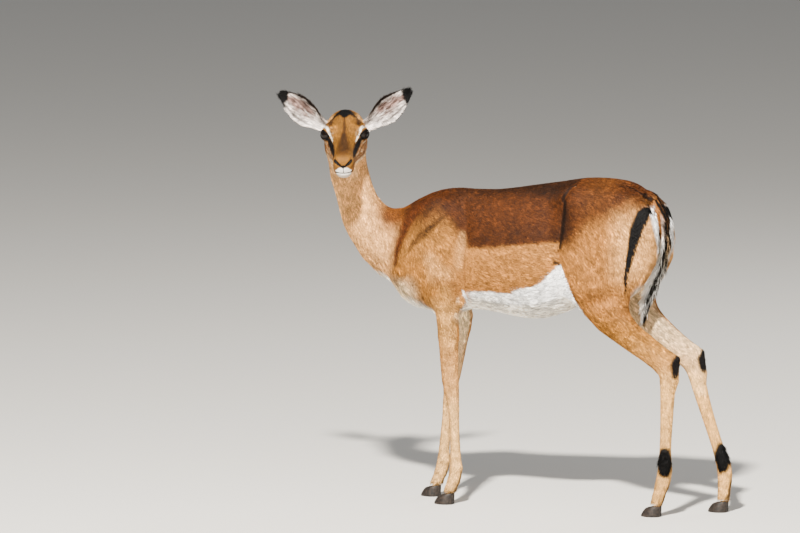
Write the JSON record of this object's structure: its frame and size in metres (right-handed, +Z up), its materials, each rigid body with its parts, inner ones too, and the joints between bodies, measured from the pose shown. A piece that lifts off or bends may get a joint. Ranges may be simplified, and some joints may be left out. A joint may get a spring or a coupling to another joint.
{
  "type": "impala ewe, life-size model",
  "caption": "Life-size still model of an impala ewe: stands alert, head turned to her left, red-brown saddle, fawn flanks, white belly, black ear tips and rump stripes.",
  "frame": {"origin": "centre of the bounding box, on the floor the hooves stand on", "axes": "+X from tail to chest along the body, +Y to her left, +Z up"},
  "size_m": [1.1893, 0.3502, 1.0665],
  "materials": {
    "coat_saddle": "short sleek hair, red-brown",
    "coat_fawn": "short sleek hair, fawn",
    "coat_white": "longer soft white hair",
    "eye": "wet gloss, near black",
    "hoof": "satin black horn"
  },
  "bodies": {
    "root": {"trunk": "coat_saddle", "neck": "coat_fawn", "head": "coat_fawn", "ear_left": "coat_fawn", "ear_right": "coat_fawn", "tail": "coat_white", "foreleg_left_forearm": "coat_fawn", "foreleg_left_cannon": "coat_fawn", "foreleg_left_pastern": "coat_fawn", "foreleg_left_hoof_inner": "hoof", "foreleg_left_hoof_outer": "hoof", "foreleg_right_forearm": "coat_fawn", "foreleg_right_cannon": "coat_fawn", "foreleg_right_pastern": "coat_fawn", "foreleg_right_hoof_inner": "hoof", "foreleg_right_hoof_outer": "hoof", "hindleg_left_gaskin": "coat_fawn", "hindleg_left_cannon": "coat_fawn", "hindleg_left_pastern": "coat_fawn", "hindleg_left_hoof_inner": "hoof", "hindleg_left_hoof_outer": "hoof", "hindleg_right_gaskin": "coat_fawn", "hindleg_right_cannon": "coat_fawn", "hindleg_right_pastern": "coat_fawn", "hindleg_right_hoof_inner": "hoof", "hindleg_right_hoof_outer": "hoof", "eye_left": "eye", "eye_right": "eye"}
  },
  "joints": []
}
